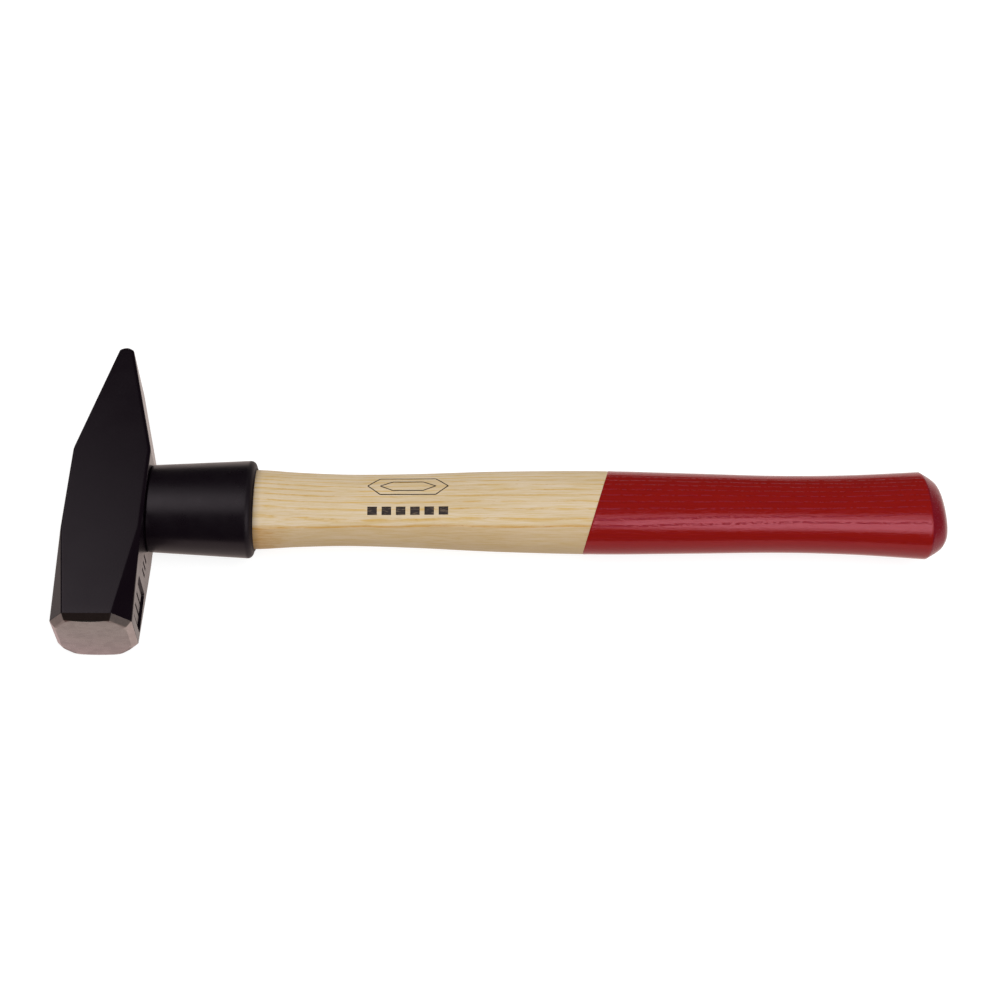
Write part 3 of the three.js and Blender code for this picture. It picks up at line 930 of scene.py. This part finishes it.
def coat_rings():
    """The dip coat as rings from its slanting front lip to the closed end of the handle, and back inside."""
    profile = grip_profile()
    xs, halves_y, halves_z = zip(*profile)
    rows = [row for row in profile if row[0] > DIP_X + COAT_SLANTED]
    middle = HANDLE_CURVE[7][1] * MM            # half width of the handle where the coat starts
    inside = COAT_PLAY - COAT_SINK

    def skin_ring(shift_from_dip, blend, grow):
        """A ring parallel to the dip plane (blend 0) that turns into one square to the axis (blend 1)."""
        ring = []
        for _, y, z in oval_ring(DIP_X, middle, middle / OVAL_RATIO):
            x = (dip_x(y, z) + shift_from_dip) * (1 - blend) + rows[0][0] * blend
            half_y = np.interp(x, xs, halves_y) + grow
            half_z = np.interp(x, xs, halves_z) + grow
            height = (z - AXIS_Z) * half_z * OVAL_RATIO / middle
            ring.append((x, y * half_y / middle, AXIS_Z + height))
        return ring

    lip_length = COAT_LIP[-1][0] * MM
    outer = [skin_ring(along * MM, 0.0, grow * MM) for along, grow in COAT_LIP]
    outer += [skin_ring(lip_length, blend, COAT_RISE) for blend in (0.25, 0.5, 0.75)]
    outer += [oval_ring(x, half_y + COAT_RISE, half_z + COAT_RISE) for x, half_y, half_z in rows]
    covered = [row for row in rows if row[0] < HANDLE_END - COAT_INNER_END]
    inner = [skin_ring(COAT_INNER_START, 0.0, inside)]
    inner += [oval_ring(x, half_y + inside, half_z + inside) for x, half_y, half_z in covered]
    return inner[::-1] + outer


def build_coat():
    coat = loft("red_dip_coat", coat_rings(), red_lacquer_material())
    finish_shading(coat, 34)
    place(coat, "grip_lacquer")


# ------------------------------------------------------------------ printed mark

MARK_CENTRE = (106.5 * MM, 0.3 * MM)    # on the handle's upper side, as X and Y
INK_RISE = 0.02 * MM
INK_CELL = 0.6 * MM
# Sizes of the mark, in mm from its centre: hexagons as (half length, half height), and blocks
HEXAGONS = ((14.5, 3.9), (10.0, 2.1))
HEXAGON_Y = 4.0
HEXAGON_POINT = 4.5
LINE_HALF_WIDTH = 0.2
BLOCKS = 6
BLOCK_LENGTH = 3.4
BLOCK_PITCH = 5.1
BLOCK_HALF_HEIGHT = 1.5
BLOCK_Y = -6.4


def skin_z(profile, x, y):
    """Height of the handle's upper skin, from the columns of its profile."""
    xs, halves_y, halves_z = profile
    half_y = np.interp(x, xs, halves_y)
    half_z = np.interp(x, xs, halves_z)
    return AXIS_Z + half_z * (1 - abs(y / half_y) ** OVAL_EXPONENT) ** (1 / OVAL_EXPONENT)


def ink_strip(start, end, half_width, verts, faces):
    """A thin straight stroke of ink from start to end (mm from the mark's centre), laid on the skin."""
    profile = list(zip(*grip_profile()))
    a, b = np.array(start, float) * MM, np.array(end, float) * MM
    along = (b - a) / np.linalg.norm(b - a)
    side = np.array([-along[1], along[0]]) * half_width * MM
    columns = max(2, math.ceil(np.linalg.norm(b - a) / INK_CELL) + 1)
    rows = max(2, math.ceil(2 * half_width * MM / INK_CELL) + 1)
    size = columns * rows
    first = len(verts)
    for lift in (INK_RISE, -2 * INK_RISE):
        for c in range(columns):
            for r in range(rows):
                p = a + (b - a) * c / (columns - 1) + side * (2 * r / (rows - 1) - 1)
                x, y = MARK_CENTRE[0] + p[0], MARK_CENTRE[1] + p[1]
                verts.append((x, y, skin_z(profile, x, y) + lift))
    for c in range(columns - 1):
        for r in range(rows - 1):
            i = first + c * rows + r
            quad = (i, i + rows, i + rows + 1, i + 1)
            faces.append(quad)
            faces.append(tuple(size + v for v in reversed(quad)))
    border = [c * rows for c in range(columns)]
    border += [(columns - 1) * rows + r for r in range(1, rows)]
    border += [c * rows + rows - 1 for c in range(columns - 2, -1, -1)]
    border += list(range(rows - 2, 0, -1))
    for i, here in enumerate(border):
        after = border[(i + 1) % len(border)]
        faces.append((first + after, first + here, first + size + here, first + size + after))


def build_mark():
    """A plain printed mark: two hexagons over a row of short blocks."""
    verts, faces = [], []
    for half_length, half_height in HEXAGONS:
        shoulder = half_length - HEXAGON_POINT
        high, low = HEXAGON_Y + half_height, HEXAGON_Y - half_height
        corners = [
            (half_length, HEXAGON_Y), (shoulder, high), (-shoulder, high),
            (-half_length, HEXAGON_Y), (-shoulder, low), (shoulder, low),
        ]
        for a, b in zip(corners, corners[1:] + corners[:1]):
            ink_strip(a, b, LINE_HALF_WIDTH, verts, faces)
    for k in range(BLOCKS):
        x = (k - (BLOCKS - 1) / 2) * BLOCK_PITCH
        start, end = x - BLOCK_LENGTH / 2, x + BLOCK_LENGTH / 2
        ink_strip((start, BLOCK_Y), (end, BLOCK_Y), BLOCK_HALF_HEIGHT, verts, faces)
    mark = add_object("printed_mark", verts, faces, ink_material())
    place(mark, "handle")


# ------------------------------------------------------------------ protective sleeve

def build_sleeve():
    """The guard sleeve: flares slightly towards the grip, with rounded ends and a thin lip inside its
    rim."""
    head_end = HALF_X + 0.02 * MM
    flare = (SLEEVE_HALF_AT_GRIP - SLEEVE_HALF_AT_HEAD) / (SLEEVE_END - head_end)

    def ring(x, inset):
        half = SLEEVE_HALF_AT_HEAD + flare * (x - head_end)
        return oval_ring(x, half - inset, half / OVAL_RATIO - inset)

    def rounded_end(end, reach):
        """Rings of a quarter round that reaches inwards from the end, which it starts from."""
        quarter = [math.radians(a) for a in range(0, 91, 10)]
        return [ring(end + reach * (1 - math.sin(a)), abs(reach) * (1 - math.cos(a))) for a in quarter]

    rings = rounded_end(head_end, SLEEVE_ROUND_AT_HEAD)[::-1]
    start, stop = head_end + SLEEVE_ROUND_AT_HEAD, SLEEVE_END - SLEEVE_ROUND_AT_GRIP
    for k in range(1, SLEEVE_STEPS):
        rings.append(ring(start + (stop - start) * k / SLEEVE_STEPS, 0))
    rings += rounded_end(SLEEVE_END, -SLEEVE_ROUND_AT_GRIP)
    # across the rim, over the thin inner lip and back through the bore
    covered = [row for row in grip_profile() if row[0] < SLEEVE_END]
    bore = [(x, half_y + SLEEVE_PLAY, half_z + SLEEVE_PLAY) for x, half_y, half_z in covered]
    _, end_y, end_z = bore[-1]
    for x, grow in SLEEVE_LIP:
        rings.append(oval_ring(SLEEVE_END + x * MM, end_y + grow * MM, end_z + grow * MM))
    rings += [oval_ring(*row) for row in reversed(bore[1:-1])]
    rings.append(oval_ring(head_end, bore[0][1], bore[0][2]))
    sleeve = loft("guard_sleeve", rings, sleeve_material(), closed=True)
    finish_shading(sleeve, 50)
    place(sleeve, "protective_sleeve")


# ------------------------------------------------------------------ stage

FLOOR_REACH = 4.0
FLOOR_DROP = 0.2 * MM
CAMERA_PLACE = (0.10879, -0.30288, 0.47039)
CAMERA_TURN = (34.0033, -3.0236, -1.3730)      # degrees
CAMERA_LENS = 53.93                            # mm
SENSOR_WIDTH = 36                              # mm
AIM = (0.12, 0.0, 0.0)                         # what the softboxes face
# Each softbox is brighter in its middle: name, centre, radius and how bright its surface is
SOFTBOXES = [
    ("grip_softbox", (0.63, -0.41, 1.00), 0.50, 2.3),
    ("grip_softbox_middle", (0.62, -0.45, 0.99), 0.30, 2.6),
    ("peen_softbox", (-0.40, 0.26, 1.00), 0.47, 0.75),
    ("peen_softbox_ring", (-0.398, 0.259, 0.995), 0.36, 0.8),
    ("peen_softbox_middle", (-0.396, 0.258, 0.99), 0.22, 0.75),
]
ROOM_SEEN = 0.9
ROOM_REFLECTED = 0.03
ROOM_FILL = 0.42


def build_floor():
    reach = FLOOR_REACH
    verts = [(-reach, -reach, 0), (reach, -reach, 0), (reach, reach, 0), (-reach, reach, 0)]
    floor = add_object("floor", verts, [(0, 1, 2, 3)], floor_material())
    floor.location.z = -FLOOR_DROP


def build_camera():
    data = bpy.data.cameras.new("camera")
    data.lens = CAMERA_LENS
    data.sensor_width = SENSOR_WIDTH
    data.clip_start = 0.01
    camera = bpy.data.objects.new("camera", data)
    camera.location = CAMERA_PLACE
    camera.rotation_euler = [math.radians(angle) for angle in CAMERA_TURN]
    SCENE.collection.objects.link(camera)
    SCENE.camera = camera


def add_disc_light(name, centre, radius, radiance):
    """A round softbox that faces the hammer, given by how bright its surface is."""
    data = bpy.data.lights.new(name, "AREA")
    data.shape = "DISK"
    data.size = 2 * radius
    data.energy = radiance * math.pi * math.pi * radius ** 2
    light = bpy.data.objects.new(name, data)
    light.location = centre
    light.rotation_euler = (Vector(AIM) - Vector(centre)).to_track_quat("-Z", "Y").to_euler()
    SCENE.collection.objects.link(light)


def build_world():
    """A studio room: pale where the camera looks at it, dark in reflections, and a weak even fill."""
    world = bpy.data.worlds.new("studio")
    world.use_nodes = True
    nodes, links = world.node_tree.nodes, world.node_tree.links
    rays = nodes.new("ShaderNodeLightPath")
    strength = nodes["Background"].inputs["Strength"]
    nodes["Background"].inputs["Color"].default_value = (1, 1, 1, 1)

    def choose(condition, yes, no):
        node = nodes.new("ShaderNodeMix")
        for socket, value in zip((node.inputs[0], node.inputs[2], node.inputs[3]), (condition, no, yes)):
            if isinstance(value, float):
                socket.default_value = value
            else:
                links.new(value, socket)
        return node.outputs[0]

    unseen = choose(rays.outputs["Is Glossy Ray"], ROOM_REFLECTED, ROOM_FILL)
    links.new(choose(rays.outputs["Is Camera Ray"], ROOM_SEEN, unseen), strength)
    SCENE.world = world


SCENE.view_settings.view_transform = "Standard"
build_camera()
build_world()
for softbox in SOFTBOXES:
    add_disc_light(*softbox)
build_floor()
build_head()
build_handle()
build_wooden_wedge()
build_ring_wedge()
build_coat()
build_mark()
build_sleeve()
